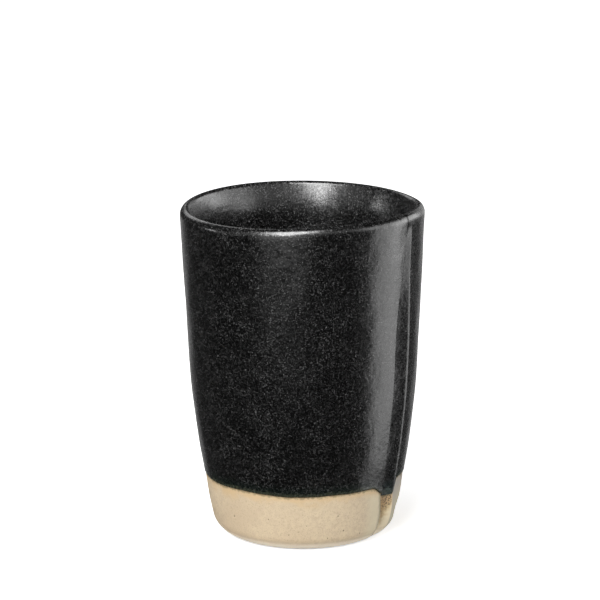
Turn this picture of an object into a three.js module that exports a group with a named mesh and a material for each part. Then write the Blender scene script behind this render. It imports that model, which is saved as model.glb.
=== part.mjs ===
// A handleless stoneware mug, built from slabs of clay: a wall rolled round a floor disc and lapped
// over itself in an upright seam. Dark glaze covers the inside, the rim and the outside, down to a
// line above a band of bare clay. In the seam the glaze has run a little lower.
//
// Millimetres. The mug stands on z = 0 with its axis on Z, and the middle of the seam faces +X.

import * as THREE from "three";
import { toCreasedNormals } from "three/addons/utils/BufferGeometryUtils.js";

// Overall shape
const height = 105;
const rimRadius = 38.2;
const bellyRadius = 36.1;
const bellyHeight = 58;
const footRadius = 28;
const footFlare = 0.175;
const footRoundHeight = 5.7;
const footRoundWidth = 5.7;
const bandSwell = 0.28;
const bandSwellHeight = 12;
const bandSwellReach = 7;

// Clay wall and floor
const wallThickness = 4.2;
const rimRoundHeight = 2.1;
const rimRoundWidth = 1.5;
const lipRoundRadius = 0.9;
const lipBevelHeight = 6.5;
const lipBevelFade = 1.6;
const lipBevelTilt = 18;
const footRingWidth = 2.1;
const floorThickness = 5.2;
const footRecess = 0.8;
const footBevel = 0.7;
const insideCornerHeight = 9;

// Glaze
const glazeThickness = 0.4;
const glazeLineHeight = 19.4;
const glazeLineThickness = 0.25;
const glazeEdgeHeight = 0.5;
const glazeEdgeThickness = 0.12;
const runLength = 5;
const runReach = 5.5;
const runSlant = 0.6;
const runPool = 0.5;
const runPoolWidth = 2;

// Lapped seam, seen from outside: a rounded shoulder on the left, a crease, and a ramp up to a ridge
const seamWidth = 6.9;
const seamRimWidth = 2.4;
const seamRimShift = 1;
const seamNarrowing = 40;
const seamWaist = 1.6;
const seamWaistHeight = 8;
const seamWaistReach = 6;
const seamDepth = 3;
const seamFootDepth = 1.6;
const seamHollow = 1.6;
const seamShoulder = 1.4;
const seamRidge = 1.1;
const seamFade = 10;
const seamSwell = 2;
const seamSwellWidth = 24;
const seamClearance = 2;

// Numbers of facets
const plainColumns = 47;
const slantColumns = 2;
const shoulderColumns = 4;
const rampColumns = 4;
const roundRows = 5;
const bandRows = 3;
const wallRows = 7;
const fadeRows = 3;
const lipRows = 3;
const bevelRows = 4;
const insideRows = 6;

// Sizes of the clay that follow from the ones above
const clayTop = height - glazeThickness;
const clayRimRadius = rimRadius - glazeThickness;
const clayBellyRadius = bellyRadius - glazeThickness;
const rimRoundStart = clayTop - rimRoundHeight;
const rimFlare = (clayRimRadius - clayBellyRadius) / (rimRoundStart - bellyHeight);
const crestRadius = clayRimRadius - rimRoundWidth;
const lipTurn = THREE.MathUtils.degToRad(90 - lipBevelTilt);
const lipRoundStart = clayTop - lipRoundRadius * (1 - Math.cos(lipTurn));
const lipRadius = crestRadius - lipRoundRadius * Math.sin(lipTurn);
const lipBevelEnd = lipRoundStart - lipBevelHeight;
const floorRadius = footRadius - footRoundWidth - footRingWidth - footBevel;
const floorTop = footRecess + floorThickness;
const insideCornerTop = floorTop + insideCornerHeight;

const quarterTurn = Math.PI / 2;
const { clamp, lerp, smoothstep } = THREE.MathUtils;

// Nothing below -width, x itself above width, and a smooth turn from one to the other between.
function softRise(x, width) {
  return x > width ? x : (clamp(x, -width, width) + width) ** 2 / (4 * width);
}

// The wall's outer radius without the foot's round: a curve up to the belly, then a straight flare,
// with a slight swell in the bare band.
function taperRadius(z) {
  const swell = bandSwell * Math.exp(-(((z - bandSwellHeight) / bandSwellReach) ** 2));
  if (z > bellyHeight) return clayBellyRadius + rimFlare * (z - bellyHeight) + swell;
  const t = z / bellyHeight;
  const ease = t * t * (3 - 2 * t);
  const fromFoot = footFlare * bellyHeight * t * (1 - t) ** 2;
  const intoBelly = rimFlare * bellyHeight * t * t * (1 - t);
  return lerp(footRadius, clayBellyRadius, ease) + fromFoot - intoBelly + swell;
}

function outerRadius(z) {
  const below = clamp(1 - z / footRoundHeight, 0, 1);
  return taperRadius(z) - footRoundWidth * (1 - Math.sqrt(1 - below ** 2));
}

// The seam narrows towards the rim, and again near its foot, where its crease bends towards its
// ridge. It grows shallower towards the rim, where it fades out, and at the foot.
function narrowingAt(z) {
  return smoothstep(z, clayTop - seamNarrowing, clayTop);
}

function waistAt(z) {
  return seamWaist * Math.exp(-(((z - seamWaistHeight) / seamWaistReach) ** 2));
}

function seamWidthAt(z) {
  return lerp(seamWidth, seamRimWidth, narrowingAt(z)) - waistAt(z);
}

function seamMiddleAt(z) {
  return waistAt(z) / 2 + seamRimShift * narrowingAt(z) ** 2;
}

function seamDepthAt(z) {
  const rising = lerp(seamFootDepth, seamDepth, smoothstep(z, 0, footRoundHeight));
  const fading = Math.sin(clamp((rimRoundStart - z) / seamFade, 0, 1) * quarterTurn);
  const narrowed = (seamWidthAt(z) + waistAt(z)) / seamWidth;
  return rising * fading * narrowed ** 1.3;
}

// Columns of vertices round the mug. A seam column has a place across the seam, 0 at the crease and 1
// at the ridge, and a cut, its share of the seam's depth. A plain column has a fixed angle.
const columns = [];
const shoulder = seamShoulder / seamWidth;
const ridge = seamRidge / seamWidth / 2;
for (let i = 0; i < slantColumns; i++) {
  columns.push({ across: lerp(-runReach / seamWidth, -shoulder, i / slantColumns), cut: 0 });
}
for (let i = 0; i <= shoulderColumns; i++) {
  const turn = (i / shoulderColumns) * quarterTurn;
  columns.push({ across: shoulder * (Math.sin(turn) - 1), cut: 1 - Math.cos(turn) });
}
for (let i = 1; i <= rampColumns; i++) {
  const across = (i / rampColumns) * (1 - ridge);
  columns.push({ across, cut: 1 - across ** seamHollow });
}
columns.push({ across: 1, cut: softRise(0, seamHollow * ridge) });
columns.push({ across: 1 + ridge, cut: 0 });

const seamReach = (seamWidth / 2 + Math.max(runReach, seamRidge / 2) + seamClearance) / footRadius;
for (let i = 0; i < plainColumns; i++) {
  const share = i / (plainColumns - 1);
  columns.push({ angle: lerp(seamReach, 2 * Math.PI - seamReach, share), cut: 0 });
}

function columnAngle(column, z) {
  if (column.angle !== undefined) return column.angle;
  return ((column.across - 0.5) * seamWidthAt(z) + seamMiddleAt(z)) / taperRadius(z);
}

// The share of the run's length that the glaze line drops by in this column: it slants down to the
// crease, reaches its lowest on the ramp and climbs back at the ridge.
function runShare(column) {
  if (column.angle !== undefined) return 0;
  const slant = smoothstep(column.across * seamWidth, -runReach, 0);
  const onRamp = smoothstep(column.across * seamWidth, -seamShoulder, seamWidth / 2);
  const beforeRidge = clamp((1 + ridge - column.across) / (2 * ridge), 0, 1);
  return lerp(onRamp, slant, runSlant) * beforeRidge;
}

// How much more glaze has gathered in the crease.
function poolAt(column, z) {
  if (column.angle !== undefined) return 0;
  const onRamp = clamp(1 - (column.across * seamWidth) / runPoolWidth, 0, 1);
  const near = column.across < 0 ? column.cut : onRamp;
  return (runPool * near * seamDepthAt(z)) / seamDepth;
}

// The lap is two slabs thick, so the wall swells a little behind the seam.
function swellAt(angle, z) {
  const turned = Math.abs(Math.atan2(Math.sin(angle), Math.cos(angle)));
  const share = clamp((turned * taperRadius(z)) / (seamSwellWidth / 2), 0, 1);
  const above = smoothstep(z, insideCornerTop, insideCornerTop + seamNarrowing);
  const below = 1 - smoothstep(z, lipRoundStart - seamNarrowing, lipRoundStart);
  return seamSwell * above * below * (0.5 + 0.5 * Math.cos(Math.PI * share));
}

// How much thinner the wall is where its inside is bevelled towards the lip.
function bevelAt(z) {
  const whole = lipRadius - (outerRadius(lipRoundStart) - wallThickness);
  return (whole * softRise(z - lipBevelEnd, lipBevelFade)) / lipBevelHeight;
}

function polar(radius, angle, z) {
  return [radius * Math.cos(angle), radius * Math.sin(angle), z];
}

// A row is a ring of vertices, given as a function of the column and of the cover, the thickness of
// glaze that the vertex stands off the clay. Rows are named in order: up the outside, over the rim,
// and down the inside to the floor's centre.
function outsideRow(z, run = 0) {
  return (column, cover) => {
    const lowered = z - run * runShare(column);
    const clay = outerRadius(lowered) - column.cut * seamDepthAt(lowered);
    const glaze = cover > 0 ? cover + poolAt(column, lowered) : 0;
    return polar(clay + glaze, columnAngle(column, lowered), lowered);
  };
}

function insideRow(z) {
  return (column, cover) => {
    const angle = columnAngle(column, z);
    const radius = outerRadius(z) - wallThickness + bevelAt(z) - swellAt(angle, z);
    return polar(radius - cover, angle, z);
  };
}

// A point on an ellipse round a centre, with the cover outside it, or inside it for a hollow corner.
function roundRow(centreRadius, centreZ, width, rise, turn, coverSide) {
  const radius = centreRadius + width * Math.cos(turn);
  const z = centreZ + rise * Math.sin(turn);
  const normal = new THREE.Vector2(Math.cos(turn) / width, Math.sin(turn) / rise).normalize();
  return (column, cover) => {
    const off = cover * coverSide;
    return polar(radius + off * normal.x, columnAngle(column, z), z + off * normal.y);
  };
}

function levelRow(radius, z) {
  return (column, cover) => polar(radius, columnAngle(column, z), z + cover);
}

function rowsUpTo(count, makeRow) {
  return Array.from({ length: count }, (_, i) => makeRow((i + 1) / count));
}

const contactRow = outsideRow(0);
const footRows = rowsUpTo(roundRows, (share) =>
  outsideRow(footRoundHeight * (1 - Math.cos(share * quarterTurn))),
);
const bandTopRows = rowsUpTo(bandRows, (share) => {
  const z = lerp(footRoundHeight, glazeLineHeight, share);
  return outsideRow(z, share === 1 ? runLength : 0);
});
const lineRow = bandTopRows[bandRows - 1];
const glazedRows = [
  ...rowsUpTo(wallRows, (share) =>
    outsideRow(lerp(glazeLineHeight, rimRoundStart - seamFade, share)),
  ),
  ...rowsUpTo(fadeRows, (share) => outsideRow(lerp(rimRoundStart - seamFade, rimRoundStart, share))),
  ...rowsUpTo(roundRows, (share) =>
    roundRow(crestRadius, rimRoundStart, rimRoundWidth, rimRoundHeight, share * quarterTurn, 1),
  ),
];
const crestRow = glazedRows[glazedRows.length - 1];
const cornerWidth = outerRadius(insideCornerTop) - wallThickness - floorRadius;
const lipCentre = clayTop - lipRoundRadius;
const bevelFoot = lipBevelEnd - lipBevelFade;
const linedRows = [
  ...rowsUpTo(lipRows, (share) =>
    roundRow(crestRadius, lipCentre, lipRoundRadius, lipRoundRadius, quarterTurn + share * lipTurn, 1),
  ),
  ...rowsUpTo(bevelRows, (share) => insideRow(lerp(lipRoundStart, bevelFoot, share))),
  ...rowsUpTo(insideRows, (share) => insideRow(lerp(bevelFoot, insideCornerTop, share))),
  ...rowsUpTo(roundRows, (share) =>
    roundRow(floorRadius, insideCornerTop, cornerWidth, insideCornerHeight, -share * quarterTurn, -1),
  ),
];
const floorEdgeRow = levelRow(floorRadius, floorTop);
const recessRow = levelRow(floorRadius, footRecess);
const bevelRow = levelRow(floorRadius + footBevel, 0);

// A closed surface made of rings of vertices. Each pair of rings is split along the same diagonals,
// whichever way it faces, so pieces that share rings touch facet to facet.
class RingSurface {
  positions = [];
  faces = [];

  ring(row, cover = 0) {
    const first = this.positions.length / 3;
    for (const column of columns) this.positions.push(...row(column, cover));
    return first;
  }

  band(rings, reversed = false) {
    for (let i = 1; i < rings.length; i++) {
      for (let j = 0; j < columns.length; j++) {
        const next = (j + 1) % columns.length;
        const [a, b] = [rings[i - 1] + j, rings[i - 1] + next];
        const [c, d] = [rings[i] + next, rings[i] + j];
        this.triangle(a, b, c, reversed);
        this.triangle(a, c, d, reversed);
      }
    }
  }

  disc(ring, z, reversed = false) {
    const centre = this.positions.length / 3;
    this.positions.push(0, 0, z);
    for (let j = 0; j < columns.length; j++) {
      this.triangle(ring + j, ring + ((j + 1) % columns.length), centre, reversed);
    }
  }

  triangle(a, b, c, reversed) {
    this.faces.push(a, reversed ? c : b, reversed ? b : c);
  }

  geometry() {
    const geometry = new THREE.BufferGeometry();
    geometry.setAttribute("position", new THREE.Float32BufferAttribute(this.positions, 3));
    geometry.setIndex(this.faces);
    return toCreasedNormals(geometry, Math.PI / 5);
  }
}

// The wall slab: its foot ring, the bare band, the clay under the glaze, the rim and the inside down
// to the joint with the floor disc.
function stonewareWall() {
  const surface = new RingSurface();
  const rows = [contactRow, ...footRows, ...bandTopRows, ...glazedRows, ...linedRows, recessRow, bevelRow];
  const rings = rows.map((row) => surface.ring(row));
  surface.band([...rings, rings[0]]);
  return surface.geometry();
}

// The floor disc, held inside the wall's foot and raised off the table.
function stonewareFloor() {
  const surface = new RingSurface();
  const top = surface.ring(floorEdgeRow);
  const bottom = surface.ring(recessRow);
  surface.band([top, bottom], true);
  surface.disc(top, floorTop);
  surface.disc(bottom, footRecess, true);
  return surface.geometry();
}

// The outside coat, from its line on the wall up to the rim's crest.
function outerGlaze() {
  const surface = new RingSurface();
  const under = [lineRow, ...glazedRows].map((row) => surface.ring(row));
  const edge = surface.ring(lineRow, glazeEdgeThickness);
  const edgeTop = surface.ring(outsideRow(glazeLineHeight + glazeEdgeHeight, runLength), glazeLineThickness);
  const over = glazedRows.map((row) => surface.ring(row, glazeThickness));
  surface.band(under, true);
  surface.band([under[0], edge, edgeTop, ...over, under[under.length - 1]]);
  return surface.geometry();
}

// The inside coat, from the rim's crest down the wall and across the floor.
function innerGlaze() {
  const surface = new RingSurface();
  const under = [crestRow, ...linedRows].map((row) => surface.ring(row));
  const over = [crestRow, ...linedRows].map((row) => surface.ring(row, glazeThickness));
  surface.band(under, true);
  surface.band(over);
  surface.band([over[0], under[0]], true);
  surface.disc(under[under.length - 1], floorTop, true);
  surface.disc(over[over.length - 1], floorTop + glazeThickness);
  return surface.geometry();
}

const mug = new THREE.Group();

function addPiece(name, geometry, material) {
  const mesh = new THREE.Mesh(geometry, new THREE.MeshStandardMaterial(material));
  mesh.name = name;
  mug.add(mesh);
}

const bareStoneware = { color: 0xd7c3a0, roughness: 0.9, metalness: 0 };
const blackGlaze = { color: 0x262628, roughness: 0.4, metalness: 0 };
addPiece("stoneware_wall", stonewareWall(), bareStoneware);
addPiece("stoneware_floor", stonewareFloor(), bareStoneware);
addPiece("outer_glaze", outerGlaze(), blackGlaze);
addPiece("inner_glaze", innerGlaze(), blackGlaze);

export default mug;
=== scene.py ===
# A stoneware mug without a handle, glazed black inside and out above a band of bare clay.
#
# Sizes are millimetres in the part's frame: the mug stands on z = 0 with its axis on Z, and the
# middle of its lapped seam faces +X. Meshes, lights and the camera are in metres.

import math

import bpy
import numpy as np
from mathutils import Matrix, Quaternion, Vector


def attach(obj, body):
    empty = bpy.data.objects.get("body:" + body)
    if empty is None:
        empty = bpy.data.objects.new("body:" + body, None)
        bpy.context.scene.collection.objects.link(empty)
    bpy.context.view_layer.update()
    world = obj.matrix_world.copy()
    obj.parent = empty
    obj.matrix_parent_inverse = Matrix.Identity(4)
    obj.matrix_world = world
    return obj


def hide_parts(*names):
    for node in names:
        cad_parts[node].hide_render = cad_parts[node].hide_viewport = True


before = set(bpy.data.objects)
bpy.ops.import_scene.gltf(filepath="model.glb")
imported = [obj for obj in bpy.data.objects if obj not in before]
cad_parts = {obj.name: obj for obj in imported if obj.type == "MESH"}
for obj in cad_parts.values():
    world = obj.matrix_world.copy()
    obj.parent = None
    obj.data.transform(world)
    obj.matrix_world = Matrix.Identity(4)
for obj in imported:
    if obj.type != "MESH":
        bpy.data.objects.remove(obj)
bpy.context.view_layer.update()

# One millimetre, in metres
MM = 0.001

# Overall shape
HEIGHT = 105
RIM_RADIUS = 38.2
BELLY_RADIUS = 36.1
BELLY_HEIGHT = 58
FOOT_RADIUS = 28
FOOT_FLARE = 0.175
FOOT_ROUND_HEIGHT = 5.7
FOOT_ROUND_WIDTH = 5.7
BAND_SWELL = 0.28
BAND_SWELL_HEIGHT = 12
BAND_SWELL_REACH = 7

# Clay wall and floor
WALL_THICKNESS = 4.2
RIM_ROUND_HEIGHT = 2.1
RIM_ROUND_WIDTH = 1.5
LIP_ROUND_RADIUS = 0.9
LIP_BEVEL_HEIGHT = 6.5
LIP_BEVEL_FADE = 4.5
LIP_BEVEL_TILT = 18
FOOT_RING_WIDTH = 2.1
FLOOR_THICKNESS = 5.2
FOOT_RECESS = 0.8
FOOT_BEVEL = 0.7
INSIDE_CORNER_HEIGHT = 9

# Glaze
GLAZE_THICKNESS = 0.4
GLAZE_LINE_HEIGHT = 19.4
GLAZE_LINE_THICKNESS = 0.25
GLAZE_EDGE_HEIGHT = 0.5
RUN_LENGTH = 5
RUN_REACH = 5.5
RUN_SLANT = 0.6
RUN_FADE = 9
POOL = 0.5
POOL_WIDTH = 2

# Lapped seam
SEAM_WIDTH = 6.9
SEAM_RIM_WIDTH = 2.4
SEAM_RIM_SHIFT = 1
SEAM_NARROWING = 40
SEAM_WAIST = 1.6
SEAM_WAIST_HEIGHT = 8
SEAM_WAIST_REACH = 6
SEAM_DEPTH = 3
SEAM_FOOT_DEPTH = 0.3
SEAM_HOLLOW = 1.6
SEAM_RIM_HOLLOW = 1.05
SEAM_SHOULDER = 1.4
SEAM_RIDGE = 1.1
SEAM_FADE = 10
SEAM_SWELL = 2
SEAM_SWELL_WIDTH = 24

# The foot pared away beside the lap: how deep, the stretches over which that starts and ends,
# counted round the wall from the crease, and the heights over which it fades
FOOT_CUT = 0.5
FOOT_CUT_START = (12, 16)
FOOT_CUT_END = (20, 32)
FOOT_CUT_FADE = (5, 12)

# Hand-built unevenness. A wave has its size in mm, how often it goes round, and where it starts, and
# a wave of the wall has its turn for each mm up before that. It fades in over so many mm above the
# foot and out over so many below the rim, and the inside has it turned by so many radians.
WALL_WAVES = [
    (0.030, 2, 0.031, 0.4),
    (0.030, 3, -0.052, 2.1),
    (0.030, 5, 0.087, 4.0),
    (0.030, 8, -0.120, 1.3),
    (0.025, 13, 0.190, 5.2),
    (0.020, 21, -0.330, 0.9),
]
WAVES_ABOVE_FOOT = 12
WAVES_BELOW_RIM = 8
INSIDE_WAVES_TURN = 0.7
LINE_WAVES = [
    (0.16, 3, 1.1),
    (0.12, 7, 0.3),
    (0.04, 19, 2.7),
    (0.025, 43, 4.4),
]

# The rim's two slow waves, and a rise and a dip, each with its height in mm, its middle and its reach
# in radians. Angles are counted from the side of the mug that the photograph shows.
PHOTOGRAPHED_SIDE = math.radians(-58)
RIM_ONCE_ROUND = 0.3
RIM_TWICE_ROUND = 0.35
RIM_DROP = 0.1
RIM_BUMPS = [(0.6, 0.35, 0.87), (-0.4, 1.85, 0.5)]

# Sizes that follow from the ones above
CLAY_TOP = HEIGHT - GLAZE_THICKNESS
CLAY_RIM_RADIUS = RIM_RADIUS - GLAZE_THICKNESS
CLAY_BELLY_RADIUS = BELLY_RADIUS - GLAZE_THICKNESS
RIM_ROUND_START = CLAY_TOP - RIM_ROUND_HEIGHT
RIM_FLARE = (CLAY_RIM_RADIUS - CLAY_BELLY_RADIUS) / (RIM_ROUND_START - BELLY_HEIGHT)
CREST_RADIUS = CLAY_RIM_RADIUS - RIM_ROUND_WIDTH
LIP_TURN = math.pi / 2 - math.radians(LIP_BEVEL_TILT)
LIP_ROUND_START = CLAY_TOP - LIP_ROUND_RADIUS * (1 - math.cos(LIP_TURN))
LIP_RADIUS = CREST_RADIUS - LIP_ROUND_RADIUS * math.sin(LIP_TURN)
LIP_BEVEL_END = LIP_ROUND_START - LIP_BEVEL_HEIGHT
FLOOR_RADIUS = FOOT_RADIUS - FOOT_ROUND_WIDTH - FOOT_RING_WIDTH - FOOT_BEVEL
FLOOR_TOP = FOOT_RECESS + FLOOR_THICKNESS
INSIDE_CORNER_TOP = FLOOR_TOP + INSIDE_CORNER_HEIGHT
SHOULDER = SEAM_SHOULDER / SEAM_WIDTH
RIDGE = SEAM_RIDGE / SEAM_WIDTH / 2


def lerp(start, end, share):
    return start + (end - start) * share


def smoothstep(x, low, high):
    share = np.clip((x - low) / (high - low), 0, 1)
    return share * share * (3 - 2 * share)


def smooth_min(a, b, width):
    share = np.clip(0.5 + 0.5 * (b - a) / width, 0, 1)
    return lerp(b, a, share) - width * share * (1 - share)


def soft_rise(x, width):
    """Nothing below -width, x itself above width, and a smooth turn from one to the other between."""
    return np.where(x > width, x, (np.clip(x, -width, width) + width) ** 2 / (4 * width))


def taper_radius(z):
    """The wall's outer radius without the foot's round: a curve up to the belly, then a straight
    flare, with a slight swell in the bare band."""
    rise = np.clip(z / BELLY_HEIGHT, 0, 1)
    ease = rise * rise * (3 - 2 * rise)
    from_foot = FOOT_FLARE * BELLY_HEIGHT * rise * (1 - rise) ** 2
    into_belly = RIM_FLARE * BELLY_HEIGHT * rise * rise * (1 - rise)
    below = lerp(FOOT_RADIUS, CLAY_BELLY_RADIUS, ease) + from_foot - into_belly
    above = CLAY_BELLY_RADIUS + RIM_FLARE * (z - BELLY_HEIGHT)
    swell = BAND_SWELL * np.exp(-(((z - BAND_SWELL_HEIGHT) / BAND_SWELL_REACH) ** 2))
    return np.where(z > BELLY_HEIGHT, above, below) + swell


def outer_radius(z):
    below = np.clip(1 - z / FOOT_ROUND_HEIGHT, 0, 1)
    return taper_radius(z) - FOOT_ROUND_WIDTH * (1 - np.sqrt(1 - below**2))


def waist_at(z):
    """How much narrower the seam is near its foot, where its crease bends towards its ridge."""
    return SEAM_WAIST * np.exp(-(((z - SEAM_WAIST_HEIGHT) / SEAM_WAIST_REACH) ** 2))


def narrowing_at(z):
    return smoothstep(z, CLAY_TOP - SEAM_NARROWING, CLAY_TOP)


def seam_width_at(z):
    return lerp(SEAM_WIDTH, SEAM_RIM_WIDTH, narrowing_at(z)) - waist_at(z)


def seam_middle_at(z):
    return waist_at(z) / 2 + SEAM_RIM_SHIFT * narrowing_at(z) ** 2


def seam_depth_at(z):
    rising = lerp(SEAM_FOOT_DEPTH, SEAM_DEPTH, smoothstep(z, 0, FOOT_ROUND_HEIGHT))
    fading = np.sin(np.clip((RIM_ROUND_START - z) / SEAM_FADE, 0, 1) * math.pi / 2)
    narrowed = (seam_width_at(z) + waist_at(z)) / SEAM_WIDTH
    return rising * fading * narrowed


# Columns of vertices round the mug. Seam columns have a place across the seam, 0 at the crease and 1
# at the ridge. The rest share out the way round from the seam's right edge to its left edge.
SHOULDER_COLUMNS = 16
RAMP_COLUMNS = 22
RIDGE_COLUMNS = 10
RAMP_CROWDING = 1.3
PLAIN_COLUMNS = 230
PLAIN_CROWDING = 0.5

seam_across = np.concatenate(
    [
        SHOULDER * (np.sin(np.linspace(0, math.pi / 2, SHOULDER_COLUMNS, endpoint=False)) - 1),
        (1 - RIDGE) * np.linspace(0, 1, RAMP_COLUMNS, endpoint=False) ** RAMP_CROWDING,
        np.linspace(1 - RIDGE, 1 + RIDGE, RIDGE_COLUMNS),
    ]
)
plain_share = np.arange(1, PLAIN_COLUMNS) / PLAIN_COLUMNS
plain_share = plain_share - PLAIN_CROWDING * np.sin(2 * math.pi * plain_share) / (2 * math.pi)
across = np.concatenate([seam_across, np.full(len(plain_share), 1 + RIDGE)])
is_plain = np.arange(len(across)) >= len(seam_across)


def column_angles(z):
    """The angle of each column at that height, which may differ from column to column."""
    width = seam_width_at(z)
    middle = seam_middle_at(z)
    angle = ((across - 0.5) * width + middle) / taper_radius(z)
    left = ((-SHOULDER - 0.5) * width + middle) / taper_radius(z)
    share = np.concatenate([np.zeros(len(seam_across)), plain_share])
    return np.where(is_plain, angle + share * (2 * math.pi + left - angle), angle)


def level_angles(z):
    """The angle of each column in a row that keeps to one height."""
    return column_angles(z * np.ones(len(across)))


def crease_distance(angle, z):
    """How far that place is from the crease, in mm round the wall."""
    turned = angle - (seam_middle_at(z) - seam_width_at(z) / 2) / taper_radius(z)
    return np.arctan2(np.sin(turned), np.cos(turned)) * taper_radius(z)


# How softly shoulder and ramp meet in the crease, how far the glaze moves them to the right, in mm,
# and how steeply the shoulder's cut ends once it is past the crease
CLAY_FILLET = 0.12
GLAZE_FILLET = 0.4
GLAZE_SIDE = 0.3
PAST_CREASE = 30


def seam_cut(place, fillet, hollow):
    """The seam's profile as a share of its depth: a rounded shoulder, a crease and a ramp."""
    on_shoulder = np.clip(1 + place / SHOULDER, 0, 1)
    shoulder = 1 - np.sqrt(1 - on_shoulder**2) + PAST_CREASE * np.clip(place, 0, None)
    ramp = soft_rise(1 - np.clip(place, 0, None) ** hollow, hollow * RIDGE)
    cut = np.clip(smooth_min(shoulder, ramp, fillet), 0, 1)
    return np.where(is_plain, 0, cut)


def seam_cuts(hollow):
    """The cut of each column in the clay, and in the glaze, which softens the crease."""
    clay = seam_cut(across, CLAY_FILLET, hollow)
    glaze = seam_cut(across - GLAZE_SIDE / SEAM_WIDTH, GLAZE_FILLET, hollow)
    return clay, np.minimum(glaze, clay)


clay_cut, glaze_cut = seam_cuts(SEAM_HOLLOW)
clay_rim_cut, glaze_rim_cut = seam_cuts(SEAM_RIM_HOLLOW)

# Where the glaze line has climbed back from its run, in half widths of the ridge past its middle
LINE_PAST_RIDGE = 1.3

# The share of the run's length that the glaze line drops by in each column: it slants down to the
# shoulder, reaches its lowest on the ramp and climbs back at the ridge.
from_crease = crease_distance(level_angles(GLAZE_LINE_HEIGHT), GLAZE_LINE_HEIGHT)
slant = smoothstep(from_crease, -RUN_REACH, 0)
on_ramp = smoothstep(from_crease, -SEAM_SHOULDER, SEAM_WIDTH / 2)
before_ridge = 1 - smoothstep(from_crease / SEAM_WIDTH, 1 - RIDGE, 1 + LINE_PAST_RIDGE * RIDGE)
run_share = lerp(on_ramp, slant, RUN_SLANT) * before_ridge

# Glaze that has gathered in the crease.
pool_share = np.where(across < 0, clay_cut, np.clip(1 - across * SEAM_WIDTH / POOL_WIDTH, 0, 1))
pool_share = np.where(is_plain, 0, pool_share)


def foot_cut(z):
    """How far the foot is pared away beside the lap, in mm."""
    sheen_beside_lap = smoothstep(from_crease, *FOOT_CUT_START) * (1 - smoothstep(from_crease, *FOOT_CUT_END))
    return FOOT_CUT * sheen_beside_lap * (1 - smoothstep(z, *FOOT_CUT_FADE))


def unevenness(angle, z):
    """How far the hand-built wall strays from its plain form, in mm."""
    total = 0
    for size, turns, rise, start in WALL_WAVES:
        total = total + size * np.sin(turns * angle + rise * z + start)
    below_rim = 1 - smoothstep(z, RIM_ROUND_START - WAVES_BELOW_RIM, CLAY_TOP)
    return total * smoothstep(z, 0, WAVES_ABOVE_FOOT) * below_rim


def line_waver(angle):
    """How far the brushed glaze line strays up or down, in mm."""
    return sum(size * np.sin(turns * angle + start) for size, turns, start in LINE_WAVES)


def bevel_at(z):
    """How much thinner the wall is where its inside is bevelled towards the lip."""
    whole = LIP_RADIUS - (outer_radius(LIP_ROUND_START) - WALL_THICKNESS)
    return whole * soft_rise(z - LIP_BEVEL_END, LIP_BEVEL_FADE) / LIP_BEVEL_HEIGHT


def swell_at(angle, z):
    """The lap is two slabs thick, so the wall swells a little behind the seam."""
    turned = np.abs(np.arctan2(np.sin(angle), np.cos(angle)))
    share = np.clip(turned * taper_radius(z) / (SEAM_SWELL_WIDTH / 2), 0, 1)
    above = smoothstep(z, INSIDE_CORNER_TOP, INSIDE_CORNER_TOP + SEAM_NARROWING)
    below = 1 - smoothstep(z, LIP_ROUND_START - SEAM_NARROWING, LIP_ROUND_START)
    return SEAM_SWELL * above * below * (0.5 + 0.5 * np.cos(math.pi * share))


def rim_waver(angle):
    """How far the hand-cut rim rises and dips on its way round, in mm."""
    turned = angle - PHOTOGRAPHED_SIDE
    turned = np.arctan2(np.sin(turned), np.cos(turned))
    total = RIM_TWICE_ROUND * np.sin(2 * turned) + RIM_ONCE_ROUND * np.sin(turned) - RIM_DROP
    for height, middle, reach in RIM_BUMPS:
        total = total + height * np.exp(-(((turned - middle) / reach) ** 2))
    return total


def polar(radius, angle, z, above_line):
    """A row: a ring of points, one for each column, as an array of x, y, z, the height above the
    glaze line and the distance from the crease."""
    ones = np.ones(len(across))
    height = z * ones + rim_waver(angle) * smoothstep(z, BELLY_HEIGHT, CLAY_TOP)
    x = radius * np.cos(angle)
    y = radius * np.sin(angle)
    return np.stack([x, y, height, above_line * ones, crease_distance(angle, z)], axis=1)


def outside_row(z, follow=0, cover=0, glazed=False):
    """A row up the outside, which follows the glaze line's drops and wavering by the share given."""
    still = level_angles(z)
    height = z + follow * (line_waver(still) - RUN_LENGTH * run_share)
    angle = column_angles(height)
    depth = seam_depth_at(height)
    radius = outer_radius(height) + unevenness(angle, height) - foot_cut(height)
    near_rim = smoothstep(height, CLAY_TOP - SEAM_NARROWING, RIM_ROUND_START - SEAM_FADE)
    cut = lerp(clay_cut, clay_rim_cut, near_rim)
    if glazed:
        coat = min(cover / GLAZE_LINE_THICKNESS, 1)
        radius = radius + cover + POOL * pool_share * depth / SEAM_DEPTH * coat
        cut = lerp(cut, lerp(glaze_cut, glaze_rim_cut, near_rim), coat)
    line = GLAZE_LINE_HEIGHT + line_waver(still) - RUN_LENGTH * run_share
    return polar(radius - cut * depth, angle, height, height - line)


def round_row(centre_radius, centre_z, width, rise, turn, cover, side):
    """A row round an ellipse, with the cover outside it, or inside it for a hollow corner."""
    normal = Vector((math.cos(turn) / width, math.sin(turn) / rise)).normalized()
    radius = centre_radius + width * math.cos(turn) + cover * side * normal.x
    z = centre_z + rise * math.sin(turn) + cover * side * normal.y
    angle = level_angles(z)
    return polar(radius, angle, z, z - GLAZE_LINE_HEIGHT)


def inside_row(z, cover):
    angle = level_angles(z)
    radius = outer_radius(z) - WALL_THICKNESS + bevel_at(z) - swell_at(angle, z) - cover
    return polar(radius + unevenness(angle + INSIDE_WAVES_TURN, z), angle, z, z - GLAZE_LINE_HEIGHT)


def level_row(radius, z):
    return polar(radius, level_angles(z), z, z - GLAZE_LINE_HEIGHT)


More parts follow.
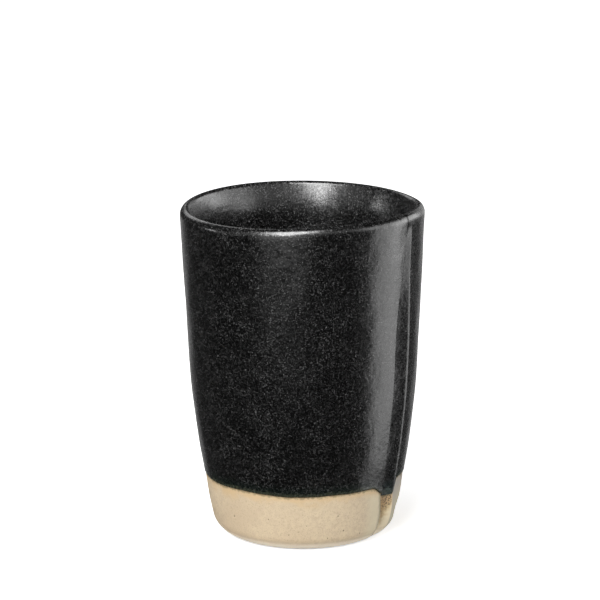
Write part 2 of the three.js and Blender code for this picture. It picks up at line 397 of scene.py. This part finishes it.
def rim_rows(count, cover):
    turns = np.linspace(0, math.pi / 2, count + 1)[1:]
    return [
        round_row(CREST_RADIUS, RIM_ROUND_START, RIM_ROUND_WIDTH, RIM_ROUND_HEIGHT, turn, cover, 1)
        for turn in turns
    ]


def lip_rows(count, cover):
    turns = math.pi / 2 + np.linspace(0, LIP_TURN, count + 1)[1:]
    size = LIP_ROUND_RADIUS
    return [round_row(CREST_RADIUS, CLAY_TOP - size, size, size, turn, cover, 1) for turn in turns]


def inside_rows(count, cover):
    heights = np.linspace(LIP_ROUND_START, INSIDE_CORNER_TOP, count + 1)[1:]
    return [inside_row(z, cover) for z in heights]


def corner_rows(count, cover):
    width = float(outer_radius(INSIDE_CORNER_TOP)) - WALL_THICKNESS - FLOOR_RADIUS
    turns = -np.linspace(0, math.pi / 2, count + 1)[1:]
    return [
        round_row(FLOOR_RADIUS, INSIDE_CORNER_TOP, width, INSIDE_CORNER_HEIGHT, turn, cover, -1)
        for turn in turns
    ]


def inside_of_mug(cover, counts):
    lip, wall, corner = counts
    return lip_rows(lip, cover) + inside_rows(wall, cover) + corner_rows(corner, cover)


# How many rows each stretch has. Three numbers are those of the lip, the inside wall and its corner.
FOOT_ROWS = 20
BAND_ROWS = 34
CLAY_WALL_ROWS = 40
CLAY_RIM_ROWS = 8
CLAY_INSIDE_ROWS = (4, 24, 8)
COAT_EDGE_ROWS = 8
COAT_LOW_ROWS = 20
COAT_WALL_ROWS = 90
COAT_RIM_ROWS = 16
COAT_INSIDE_ROWS = (8, 70, 14)
UNDER_WALL_ROWS = 24
UNDER_RIM_ROWS = 6
UNDER_INSIDE_ROWS = (3, 20, 8)
DISC_RINGS = 12
HIDDEN_DISC_RINGS = 6

# How far round the glaze's rounded edge its first row lies, in radians
COAT_FIRST_TURN = 0.3


def line_follow(z):
    """The share by which a row above the glaze line still follows it."""
    above = z - GLAZE_LINE_HEIGHT
    return float(1 - smoothstep(above, GLAZE_EDGE_HEIGHT, RUN_FADE))


def clay_wall_rows():
    foot = FOOT_ROUND_HEIGHT * (1 - np.cos(np.linspace(0, math.pi / 2, FOOT_ROWS)))
    rows = [outside_row(z) for z in foot]
    for z in np.linspace(FOOT_ROUND_HEIGHT, GLAZE_LINE_HEIGHT, BAND_ROWS)[1:]:
        rows.append(outside_row(z, float(smoothstep(z, FOOT_ROUND_HEIGHT, GLAZE_LINE_HEIGHT))))
    for z in np.linspace(GLAZE_LINE_HEIGHT, RIM_ROUND_START, CLAY_WALL_ROWS)[1:]:
        rows.append(outside_row(z, line_follow(z)))
    rows += rim_rows(CLAY_RIM_ROWS, 0) + inside_of_mug(0, CLAY_INSIDE_ROWS)
    rows.append(level_row(FLOOR_RADIUS, FOOT_RECESS))
    rows.append(level_row(FLOOR_RADIUS + FOOT_BEVEL, 0))
    return rows


def glaze_thickness(above):
    """The coat's thickness at a height above its line: a rounded edge, thin at first, then even."""
    rounded = math.sqrt(1 - max(0, 1 - above / GLAZE_EDGE_HEIGHT) ** 2)
    return rounded * lerp(GLAZE_LINE_THICKNESS, GLAZE_THICKNESS, float(smoothstep(above, 0, RUN_FADE)))


def glaze_coat_rows():
    turns = np.linspace(COAT_FIRST_TURN, math.pi / 2, COAT_EDGE_ROWS)
    above = np.concatenate(
        [
            GLAZE_EDGE_HEIGHT * (1 - np.cos(turns)),
            np.linspace(GLAZE_EDGE_HEIGHT, RUN_FADE, COAT_LOW_ROWS)[1:],
            np.linspace(RUN_FADE, RIM_ROUND_START - GLAZE_LINE_HEIGHT, COAT_WALL_ROWS)[1:],
        ]
    )
    rows = []
    for rise in above:
        z = GLAZE_LINE_HEIGHT + rise
        rows.append(outside_row(z, line_follow(z), glaze_thickness(rise), True))
    rows += rim_rows(COAT_RIM_ROWS, GLAZE_THICKNESS)
    return rows + inside_of_mug(GLAZE_THICKNESS, COAT_INSIDE_ROWS)


def glaze_under_rows():
    """The coat's hidden side, against the clay, from its line round to the floor's edge."""
    rows = [outside_row(GLAZE_LINE_HEIGHT, 1)]
    for z in np.linspace(GLAZE_LINE_HEIGHT, RIM_ROUND_START, UNDER_WALL_ROWS)[1:]:
        rows.append(outside_row(z, line_follow(z)))
    return rows + rim_rows(UNDER_RIM_ROWS, 0) + inside_of_mug(0, UNDER_INSIDE_ROWS)


class RingMesh:
    """A closed mesh made of rows of points, with discs at its ends if it has any."""

    def __init__(self):
        self.points = []
        self.faces = []

    def add_rows(self, rows):
        firsts = []
        for row in rows:
            firsts.append(len(self.points))
            self.points.extend(row)
        return firsts

    def band(self, firsts, reverse=False):
        count = len(across)
        for low, high in zip(firsts, firsts[1:]):
            for column in range(count):
                after = (column + 1) % count
                face = (low + column, low + after, high + after, high + column)
                self.faces.append(face[::-1] if reverse else face)

    def disc(self, first, radius, z, rings, reverse=False):
        """Smaller and smaller rings inside the row, down to one point."""
        rows = [level_row(radius * (1 - ring / rings), z) for ring in range(1, rings)]
        firsts = [first] + self.add_rows(rows)
        self.band(firsts, reverse)
        centre = len(self.points)
        self.points.append(np.array([0, 0, z, z - GLAZE_LINE_HEIGHT, 0]))
        count = len(across)
        for column in range(count):
            after = (column + 1) % count
            face = (firsts[-1] + column, firsts[-1] + after, centre)
            self.faces.append(face[::-1] if reverse else face)

    def make(self, name):
        table = np.array(self.points)
        mesh = bpy.data.meshes.new(name)
        mesh.from_pydata((table[:, :3] * MM).tolist(), [], self.faces)
        for column, attribute in ((3, "above_line"), (4, "from_crease")):
            layer = mesh.attributes.new(attribute, "FLOAT", "POINT")
            layer.data.foreach_set("value", table[:, column].astype(np.float32))
        mesh.polygons.foreach_set("use_smooth", np.ones(len(mesh.polygons), bool))
        mesh.validate()
        piece = bpy.data.objects.new(name, mesh)
        bpy.context.scene.collection.objects.link(piece)
        return piece


def make_clay_wall():
    ring_mesh = RingMesh()
    firsts = ring_mesh.add_rows(clay_wall_rows())
    ring_mesh.band(firsts + firsts[:1])
    return ring_mesh.make("clay_wall")


def make_clay_floor():
    ring_mesh = RingMesh()
    rows = [level_row(FLOOR_RADIUS, z) for z in (FLOOR_TOP, FOOT_RECESS)]
    top, bottom = ring_mesh.add_rows(rows)
    ring_mesh.band([bottom, top])
    ring_mesh.disc(top, FLOOR_RADIUS, FLOOR_TOP, HIDDEN_DISC_RINGS)
    ring_mesh.disc(bottom, FLOOR_RADIUS, FOOT_RECESS, DISC_RINGS, reverse=True)
    return ring_mesh.make("clay_floor")


def make_glaze_coat():
    ring_mesh = RingMesh()
    under = ring_mesh.add_rows(glaze_under_rows())
    over = ring_mesh.add_rows(glaze_coat_rows())
    ring_mesh.band(under, reverse=True)
    ring_mesh.band([under[0]] + over)
    ring_mesh.disc(over[-1], FLOOR_RADIUS, FLOOR_TOP + GLAZE_THICKNESS, DISC_RINGS)
    ring_mesh.disc(under[-1], FLOOR_RADIUS, FLOOR_TOP, HIDDEN_DISC_RINGS, reverse=True)
    return ring_mesh.make("glaze_coat")


class Nodes:
    """Short calls that make and join nodes."""

    def __init__(self, tree):
        self.tree = tree

    def node(self, kind, **settings):
        node = self.tree.nodes.new(kind)
        for key, value in settings.items():
            setattr(node, key, value)
        return node

    def feed(self, socket, value):
        if isinstance(value, bpy.types.NodeSocket):
            self.tree.links.new(value, socket)
        elif isinstance(value, tuple) and len(value) == 3 and socket.type == "RGBA":
            socket.default_value = (*value, 1)
        else:
            socket.default_value = value

    def math(self, operation, a, b=0.0):
        node = self.node("ShaderNodeMath", operation=operation)
        self.feed(node.inputs[0], a)
        self.feed(node.inputs[1], b)
        return node.outputs[0]

    def vector_math(self, operation, a, b=None):
        """The number that comes of one vector, or of two."""
        node = self.node("ShaderNodeVectorMath", operation=operation)
        self.feed(node.inputs[0], a)
        if b is not None:
            self.feed(node.inputs[1], b)
        return node.outputs["Value"]

    def product(self, *factors):
        value = factors[0]
        for factor in factors[1:]:
            value = self.math("MULTIPLY", value, factor)
        return value

    def ramp(self, value, low, high, to_low=0.0, to_high=1.0):
        """A smooth change from to_low to to_high as the value goes from low to high."""
        node = self.node("ShaderNodeMapRange", interpolation_type="SMOOTHSTEP")
        self.feed(node.inputs["Value"], value)
        self.feed(node.inputs["From Min"], low)
        self.feed(node.inputs["From Max"], high)
        self.feed(node.inputs["To Min"], to_low)
        self.feed(node.inputs["To Max"], to_high)
        return node.outputs[0]


class Material(Nodes):
    """A node material with one Principled shader."""

    def __init__(self, name):
        self.material = bpy.data.materials.new(name)
        self.material.use_nodes = True
        super().__init__(self.material.node_tree)
        self.shader = self.tree.nodes["Principled BSDF"]
        self.place = self.node("ShaderNodeTexCoord").outputs["Object"]


class MugMaterial(Material):
    """A material that knows its height above the table, in mm, and which side the seam is on."""

    def __init__(self, name):
        super().__init__(name)
        parts = self.node("ShaderNodeSeparateXYZ")
        self.feed(parts.inputs[0], self.place)
        self.height = self.math("MULTIPLY", parts.outputs["Z"], 1 / MM)
        # The crease faces +X. Opposite it, from_crease passes 0 once more as it changes its sign, so
        # what belongs to the seam is kept to this side.
        self.seam_side = self.ramp(parts.outputs["X"], 0, 4 * MM)

    def total(self, start, *parts):
        """The start value plus each part's distance from a half, times its weight."""
        value = start - sum(weight for _, weight in parts) / 2
        for part, weight in parts:
            value = self.math("ADD", self.math("MULTIPLY", part, weight), value)
        return value

    def attribute(self, name):
        return self.node("ShaderNodeAttribute", attribute_name=name).outputs["Fac"]

    def stretched(self, scale):
        node = self.node("ShaderNodeMapping")
        self.feed(node.inputs["Vector"], self.place)
        self.feed(node.inputs["Scale"], scale)
        return node.outputs[0]

    def noise(self, size, detail=2.0, roughness=0.5, place=None):
        """Noise with features of that size in mm."""
        node = self.node("ShaderNodeTexNoise")
        self.feed(node.inputs["Vector"], place or self.place)
        self.feed(node.inputs["Scale"], 1 / MM / size)
        self.feed(node.inputs["Detail"], detail)
        self.feed(node.inputs["Roughness"], roughness)
        return node.outputs["Fac"]

    def cells(self, size):
        """The distance to the nearest of scattered points, and a random value for each point."""
        node = self.node("ShaderNodeTexVoronoi")
        self.feed(node.inputs["Vector"], self.place)
        self.feed(node.inputs["Scale"], 1 / MM / size)
        return node.outputs["Distance"], node.outputs["Color"]

    def blend(self, share, a, b):
        """Colour a with that share of colour b."""
        node = self.node("ShaderNodeMix", data_type="RGBA")
        sockets = {socket.identifier: socket for socket in node.inputs}
        self.feed(sockets["Factor_Float"], share)
        self.feed(sockets["A_Color"], a)
        self.feed(sockets["B_Color"], b)
        return next(socket for socket in node.outputs if socket.identifier == "Result_Color")

    def bump(self, layers):
        """Layers of (height, depth in mm), finest last."""
        normal = None
        for height, depth in layers:
            node = self.node("ShaderNodeBump")
            self.feed(node.inputs["Height"], height)
            self.feed(node.inputs["Distance"], depth * MM)
            if normal is not None:
                self.feed(node.inputs["Normal"], normal)
            normal = node.outputs[0]
        self.feed(self.shader.inputs["Normal"], normal)


# In both materials, noise has its size in mm, and ramps run over mm: above the glaze line, to the
# right of the crease, or above the table.

# Glaze colours
COOL_GLAZE = (0.004, 0.013, 0.008)
THIN_GLAZE = (0.036, 0.042, 0.026)
GLAZE_EDGE = (0.036, 0.026, 0.007)
RUN_BLUE = (0.062, 0.080, 0.074)
RUN_SHADE = (0.002, 0.010, 0.010)

# The least that the speckle's brightness comes to, and the power that raises its contrast
SPECKLE_FLOOR = 0.010
SPECKLE_POWER = 2.2

# In the crease the glaze mirrors less, as its sides hide the studio.
FULL_SHINE = 0.5
CREASE_SHINE_LOSS = 0.4

INDEX_OF_REFRACTION = 1.5


def glaze_material():
    m = MugMaterial("black_glaze")
    above = m.attribute("above_line")
    crease = m.attribute("from_crease")

    # Near black, with a fine grey speckle
    speckle = m.total(0.030, (m.noise(0.42, 1), 1.32), (m.noise(1.5, 2), 0.22), (m.noise(9, 3), 0.18))
    grey = m.math("POWER", m.math("MAXIMUM", speckle, SPECKLE_FLOOR), SPECKLE_POWER)
    even = m.node("ShaderNodeCombineColor")
    for socket in even.inputs[:3]:
        m.feed(socket, grey)
    colour = even.outputs[0]

    # Cooler towards its line, and olive where it thins out
    ragged = m.math("ADD", above, m.ramp(m.noise(1.1, 2), 0.3, 0.7, -0.35, 0.35))
    colour = m.blend(m.ramp(ragged, 4.5, 1.2, 0, 0.35), colour, COOL_GLAZE)
    colour = m.blend(m.ramp(ragged, 1.5, 0.5, 0, 0.8), colour, THIN_GLAZE)
    colour = m.blend(m.ramp(above, 0.35, 0.1), colour, GLAZE_EDGE)

    # The run is bluish at its foot, with a shaded band above that.
    on_run = m.product(m.seam_side, m.ramp(crease, -0.8, 0.4), m.ramp(crease, 6.4, 5.4))
    run_foot = m.product(on_run, m.ramp(ragged, 2.9, 1.9), 0.85)
    colour = m.blend(run_foot, colour, RUN_BLUE)
    run_shadow = m.product(on_run, m.ramp(ragged, 2.2, 3.2), m.ramp(ragged, 5.2, 4.0), 0.8)
    colour = m.blend(run_shadow, colour, RUN_SHADE)
    m.feed(m.shader.inputs["Base Color"], colour)

    m.feed(m.shader.inputs["Roughness"], m.ramp(m.noise(0.8, 3, 0.7), 0.3, 0.7, 0.19, 0.31))
    m.feed(m.shader.inputs["IOR"], INDEX_OF_REFRACTION)
    beside_crease = m.math("ABSOLUTE", m.math("ADD", crease, -0.15))
    in_crease = m.product(m.seam_side, m.ramp(beside_crease, 0.8, 0.2))
    shine = m.math("SUBTRACT", FULL_SHINE, m.product(in_crease, CREASE_SHINE_LOSS))
    m.feed(m.shader.inputs["Specular IOR Level"], shine)
    m.bump([(m.noise(7, 2), 0.18), (m.noise(1.6, 2), 0.07), (m.noise(0.42, 2), 0.022)])
    return m.material


# Dark specks and pits in the bare band: how far round from the crease in degrees, and how high and
# how wide in mm
SPECKS = [
    (-98, 10.0, 0.35),
    (-73, 11.2, 0.22),
    (-61, 6.3, 0.24),
    (-55, 7.4, 0.20),
    (-50, 9.5, 0.20),
    (-37, 4.9, 0.24),
    (-27, 7.0, 0.34),
    (-15, 5.0, 0.26),
    (4, 1.2, 0.9),
    (100, 8.5, 0.30),
    (150, 4.2, 0.26),
    (210, 11.0, 0.34),
]
CREASE_ANGLE = math.radians(-7)

# A pit fades out from the first of these shares of its width to the second.
PIT_INSIDE = 0.45
PIT_OUTSIDE = 1.05

# Clay colours
WARM_CLAY = (0.62, 0.488, 0.325)
PALE_CLAY = (0.70, 0.573, 0.389)
CLAY_MOTTLE = (0.60, 0.47, 0.32)
CLAY_GRAIN = (0.48, 0.365, 0.24)
# Painted sheen on the clay left of the crease
LEFT_SLAB_SHEEN = (0.755, 0.67, 0.468)
OCHRE_FLASH = (0.65, 0.46, 0.24)
# Cream of the lap, painted extra light against the shoulder's shadow
CREAM_LAP_PAINTED_LIGHT = (0.99, 0.86, 0.61)
# Painted grey sheen past the lap's ridge, low down and near the glaze line
GREY_SHEEN_LOW = (0.56, 0.51, 0.385)
GREY_SHEEN_NEAR_LINE = (0.40, 0.37, 0.34)
OCHRE_STAIN = (0.70, 0.52, 0.24)
BROWN_STAIN = (0.54, 0.345, 0.165)
DARK_DOTS = (0.025, 0.015, 0.008)
# Stain and painted shade in the crease
CREASE_STAIN_AND_SHADE = (0.24, 0.185, 0.095)
LINE_STAIN = (0.24, 0.17, 0.08)
# Pale wiped edge of the foot, painted extra light against the shade on its round
WIPED_FOOT_AND_PAINTED_LIGHT = (0.98, 0.90, 0.77)
# Painted contact shadow along the foot's bottom edge
FOOT_CONTACT_SHADOW = (0.20, 0.16, 0.12)
WORN_FOOT = (0.40, 0.31, 0.20)
PIT_COLOUR = (0.20, 0.14, 0.085)


def pit_at(m, turn, height, width):
    """Where the band has one pit: 1 inside it, 0 outside."""
    angle = CREASE_ANGLE + math.radians(turn)
    radius = float(outer_radius(height))
    spot = Vector((radius * math.cos(angle), radius * math.sin(angle), height)) * MM
    distance = m.vector_math("DISTANCE", m.place, spot)
    return m.ramp(distance, width * PIT_OUTSIDE * MM, width * PIT_INSIDE * MM)


def clay_material():
    m = MugMaterial("bare_stoneware")
    above = m.attribute("above_line")
    crease = m.attribute("from_crease")

    # Sandy clay, mottled and grainy
    colour = m.blend(m.ramp(m.noise(18, 3), 0.3, 0.7), WARM_CLAY, PALE_CLAY)
    colour = m.blend(m.ramp(m.noise(1.3, 3, 0.65), 0.35, 0.75), colour, CLAY_MOTTLE)
    colour = m.blend(m.ramp(m.noise(0.42, 2, 0.6), 0.51, 0.69, 0, 0.65), colour, CLAY_GRAIN)

    # A painted sheen makes the clay left of the crease paler and greyer, and the glaze has tinted the
    # clay below its line.
    painted_sheen_left = m.product(m.seam_side, m.ramp(crease, -9, -4), m.ramp(crease, 0.5, -0.5), 0.7)
    colour = m.blend(painted_sheen_left, colour, LEFT_SLAB_SHEEN)
    flash = m.math("ADD", above, m.ramp(m.noise(6, 3), 0.3, 0.7, -1.2, 1.2))
    colour = m.blend(m.ramp(flash, -3.8, -0.2, 0, 0.75), colour, OCHRE_FLASH)

    # The lapped slab is cream, painted lighter still against the shoulder's shadow, and a painted grey
    # sheen lies past its ridge.
    on_lap = m.product(m.seam_side, m.ramp(crease, 0.2, 1.4), m.ramp(crease, 6.6, 5.6))
    colour = m.blend(m.product(on_lap, 0.95), colour, CREAM_LAP_PAINTED_LIGHT)
    # Past the ridge lies a painted grey sheen, darker towards the glaze line.
    sheen_beside_lap = m.product(m.seam_side, m.ramp(crease, 5.8, 6.8), m.ramp(crease, 24, 12), 0.85)
    colour = m.blend(sheen_beside_lap, colour, m.blend(m.ramp(above, -9, -1), GREY_SHEEN_LOW, GREY_SHEEN_NEAR_LINE))

    # Under the run the lap is stained ochre, then brown with dark dots, and the crease is darkened,
    # partly a stain and partly painted shade.
    blotch = m.ramp(m.noise(1.8, 3, 0.65), 0.3, 0.7, -1.2, 1.2)
    below_run = m.math("ADD", m.math("ADD", above, blotch), m.ramp(crease, 2.8, 4.8, 3.5, 0))
    tinted = m.product(on_lap, m.ramp(below_run, -8.0, -3.5, 0, 0.7))
    colour = m.blend(tinted, colour, OCHRE_STAIN)
    stained = m.product(on_lap, m.ramp(below_run, -5.0, -1.2, 0, 0.85))
    colour = m.blend(stained, colour, BROWN_STAIN)
    dotted = m.product(m.ramp(crease, 2.0, 4.5, 0.35, 1), m.ramp(below_run, -4.6, -2.0))
    dots = m.product(stained, dotted, m.ramp(m.noise(0.6, 1), 0.52, 0.60))
    colour = m.blend(dots, colour, DARK_DOTS)
    # The crease's mark, partly stain and partly painted shade, lies just left of it on the shoulder's
    # edge.
    stain_and_shade_place = m.ramp(m.noise(2.5, 2), 0.3, 0.7, -0.9, -0.5)
    beside_stain_and_shade = m.math("ABSOLUTE", m.math("SUBTRACT", crease, stain_and_shade_place))
    stain_and_shade_share = m.ramp(m.height, 0, 9, 0.35, 0.9)
    crease_stain_and_shade = m.product(m.seam_side, m.ramp(beside_stain_and_shade, 1.9, 0.1), stain_and_shade_share)
    colour = m.blend(crease_stain_and_shade, colour, CREASE_STAIN_AND_SHADE)

    # A dark line under the glaze, and a pale edge where the foot was wiped, worn across its middle and
    # painted lighter against the foot's shade
    under_line = m.math("ADD", above, m.ramp(m.noise(1.1, 2), 0.3, 0.7, -0.3, 0.3))
    colour = m.blend(m.ramp(under_line, -0.8, -0.1, 0, 0.8), colour, LINE_STAIN)
    colour = m.blend(m.ramp(m.height, 3.8, 1.6, 0, 0.75), colour, WIPED_FOOT_AND_PAINTED_LIGHT)
    # A painted contact shadow darkens the lowest millimetre of the foot.
    colour = m.blend(m.ramp(m.height, 0.9, 0.4, 0, 0.7), colour, FOOT_CONTACT_SHADOW)
    worn = m.product(m.ramp(m.height, 3.9, 3.3), m.ramp(m.height, 2.6, 3.1), 0.22)
    colour = m.blend(worn, colour, WORN_FOOT)

    # The larger pits in their places, and small ones scattered
    pits = 0.0
    for speck in SPECKS:
        pits = m.math("MAXIMUM", pit_at(m, *speck), pits)
    grain_distance, random = m.cells(3.1)
    grain = m.product(m.ramp(grain_distance, 0.10, 0.05), m.ramp(random, 0.80, 0.83), 0.8)
    pits = m.math("MAXIMUM", pits, grain)
    colour = m.blend(pits, colour, PIT_COLOUR)
    m.feed(m.shader.inputs["Base Color"], colour)

    m.feed(m.shader.inputs["Roughness"], m.ramp(m.noise(2, 2), 0.3, 0.7, 0.72, 0.88))
    m.feed(m.shader.inputs["IOR"], INDEX_OF_REFRACTION)
    wipes = m.noise(1.4, 2, 0.5, m.stretched((0.05, 0.05, 1)))
    m.bump([(wipes, 0.05), (m.noise(1.1, 3, 0.6), 0.07), (m.noise(0.4, 2), 0.015), (pits, -0.06)])
    return m.material


clay_wall = make_clay_wall()
clay_floor = make_clay_floor()
glaze_coat = make_glaze_coat()
clay_look = clay_material()
glaze_look = glaze_material()
for piece, look, nodes, slot in (
    (clay_wall, clay_look, ("stoneware_wall",), "bare_stoneware"),
    (clay_floor, clay_look, ("stoneware_floor",), "bare_stoneware"),
    (glaze_coat, glaze_look, ("outer_glaze", "inner_glaze"), "black_glaze"),
):
    piece.data.materials.append(look)
    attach(piece, "root")
    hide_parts(*nodes)

# The camera, as the photograph was taken: from a little above, with the seam on the right. Angles
# are degrees, and it aims past the mug's centre by so many metres.
CAMERA_AZIMUTH = 31.8
CAMERA_ELEVATION = 15.22
CAMERA_DISTANCE = 0.999
CAMERA_LENS = 190.0
CAMERA_SENSOR = 36
CAMERA_REACH = 20
CAMERA_ROLL = -0.43
AIM_RIGHT = -0.00093
AIM_UP = 0.0211


def direction(azimuth, elevation):
    """The way to something, in degrees round from -Y towards +X and up from level."""
    turn = math.radians(azimuth)
    tilt = math.radians(elevation)
    return Vector((math.sin(turn) * math.cos(tilt), -math.cos(turn) * math.cos(tilt), math.sin(tilt)))


mug_centre = Vector((0, 0, HEIGHT / 2 * MM))
towards_camera = direction(CAMERA_AZIMUTH, CAMERA_ELEVATION)
camera_right = Vector((0, 0, 1)).cross(towards_camera).normalized()
camera_up = towards_camera.cross(camera_right)
camera_place = mug_centre + towards_camera * CAMERA_DISTANCE
aim = mug_centre + camera_right * AIM_RIGHT + camera_up * AIM_UP
camera_turn = (aim - camera_place).to_track_quat("-Z", "Y").to_matrix()
camera_turn = camera_turn @ Matrix.Rotation(math.radians(CAMERA_ROLL), 3, "Z")

camera_data = bpy.data.cameras.new("camera")
camera_data.lens = CAMERA_LENS
camera_data.sensor_width = CAMERA_SENSOR
camera_data.clip_end = CAMERA_REACH
camera = bpy.data.objects.new("camera", camera_data)
camera.matrix_world = Matrix.Translation(camera_place) @ camera_turn.to_4x4()
bpy.context.scene.collection.objects.link(camera)
bpy.context.scene.camera = camera


def soft_light(name, azimuth, elevation, distance, size, strength, mirrored=True, lights=True, roll=0):
    """A rectangular studio light, placed by its direction from the camera's side of the mug, in
    degrees and metres. Its strength is its own brightness, where 1 looks white. It can be seen
    mirrored, light the mug, or both."""
    data = bpy.data.lights.new(name, "AREA")
    data.shape = "RECTANGLE"
    data.size, data.size_y = size
    data.energy = strength * math.pi * size[0] * size[1]
    light = bpy.data.objects.new(name, data)
    back = direction(CAMERA_AZIMUTH + azimuth, elevation)
    light.location = mug_centre + back * distance
    light.rotation_mode = "QUATERNION"
    light.rotation_quaternion = back.to_track_quat("Z", "Y") @ Quaternion((0, 0, 1), math.radians(roll))
    light.visible_camera = False
    light.visible_glossy = mirrored
    light.visible_diffuse = lights
    bpy.context.scene.collection.objects.link(light)


soft_light("front_softbox", -22, 37, 1.3, (0.65, 0.85), 10.6, mirrored=False)
soft_light("front_window", -16, 48, 1.3, (0.80, 0.75), 20.0, lights=False)
soft_light("front_spot", -18, 23, 1.3, (0.52, 0.34), 6.0, lights=False)
soft_light("front_glint", -21, 25, 1.3, (0.34, 0.22), 22.0, lights=False)
soft_light("front_haze", -30, 27, 0.9, (1.3, 0.40), 0.85, lights=False)
soft_light("right_haze", 45, 24, 0.9, (1.1, 0.40), 0.9, lights=False)
soft_light("mouth_light", 0, 90, 0.12, (0.06, 0.06), 9.0, mirrored=False)
soft_light("front_glow", -18, 3, 0.35, (0.25, 0.12), 2.2, lights=False)
soft_light("strip_softbox", 88.5, -13, 0.6, (0.365, 0.38), 3.0, lights=False, roll=18)
soft_light("strip_corner", 103, 5, 0.6, (0.26, 0.34), 2.4, lights=False)
soft_light("wide_panel", 98, 16, 0.6, (1.0, 0.29), 3.0, lights=False)
soft_light("rim_panel", 135, 10, 0.6, (0.8, 0.35), 0.6, lights=False)
soft_light("right_fill", 93, -8, 0.6, (0.40, 0.75), 2.5, mirrored=False)
soft_light("left_fill", -125, 35, 0.9, (0.75, 0.55), 1.4, mirrored=False)
soft_light("left_window", -91, 11.5, 1.0, (0.14, 0.08), 15.0, lights=False)
soft_light("left_rim_light", -160, 27, 1.0, (0.5, 0.25), 2.0, lights=False)

# The floor is out of reach of mirrored rays and of the lights' shadow rays from below, so that the
# dark glaze mirrors the studio round it. It glows for the camera, fully from some way off the mug.
FLOOR_SIZE = 6
FLOOR_GREY = 0.8
GLOW_NEAR = 0.72
GLOW_START = 0.025
GLOW_FULL = 0.085

# A white backdrop all round. The glaze mirrors it dimly, brightest low down behind the mug. It
# brightens as a mirrored ray's direction dips from the first height to the second, and as the ray
# turns away from the camera, where 1 is straight away from it.
MIRRORED_FRONT = 0.045
MIRRORED_BEHIND = 0.48
LOW_RANGE = (-0.06, -0.16)
BEHIND_RANGE = (0.74, 0.96)


def make_floor():
    half = FLOOR_SIZE / 2
    corners = [(-half, -half, 0), (half, -half, 0), (half, half, 0), (-half, half, 0)]
    mesh = bpy.data.meshes.new("studio_floor")
    mesh.from_pydata(corners, [], [(0, 1, 2, 3)])
    floor = bpy.data.objects.new("studio_floor", mesh)
    bpy.context.scene.collection.objects.link(floor)
    floor.visible_glossy = False
    floor.visible_shadow = False
    m = Material("pale_floor")
    m.feed(m.shader.inputs["Base Color"], (FLOOR_GREY, FLOOR_GREY, FLOOR_GREY))
    m.feed(m.shader.inputs["Roughness"], 1)
    m.feed(m.shader.inputs["Specular IOR Level"], 0)
    m.feed(m.shader.inputs["Emission Color"], (1, 1, 1))
    distance = m.vector_math("LENGTH", m.place)
    rising = m.ramp(distance, GLOW_START, GLOW_FULL, GLOW_NEAR, 1)
    rays = m.node("ShaderNodeLightPath").outputs
    m.feed(m.shader.inputs["Emission Strength"], m.product(rays["Is Camera Ray"], rising))
    floor.data.materials.append(m.material)


def make_backdrop():
    world = bpy.data.worlds.new("studio")
    world.use_nodes = True
    bpy.context.scene.world = world
    w = Nodes(world.node_tree)
    background = w.tree.nodes["Background"]
    w.feed(background.inputs["Color"], (1, 1, 1))
    rays = w.node("ShaderNodeLightPath").outputs
    way = w.node("ShaderNodeTexCoord").outputs["Generated"]
    parts = w.node("ShaderNodeSeparateXYZ")
    w.feed(parts.inputs[0], way)
    how_low = w.ramp(parts.outputs["Z"], *LOW_RANGE)
    behind = w.vector_math("DOT_PRODUCT", way, -direction(CAMERA_AZIMUTH, 0))
    both = w.product(how_low, w.ramp(behind, *BEHIND_RANGE))
    mirrored = w.product(rays["Is Glossy Ray"], w.ramp(both, 0, 1, MIRRORED_FRONT, MIRRORED_BEHIND))
    seen = w.math("ADD", rays["Is Camera Ray"], rays["Is Transmission Ray"])
    w.feed(background.inputs["Strength"], w.math("ADD", seen, mirrored))


make_floor()
make_backdrop()
bpy.context.scene.view_settings.view_transform = "Standard"
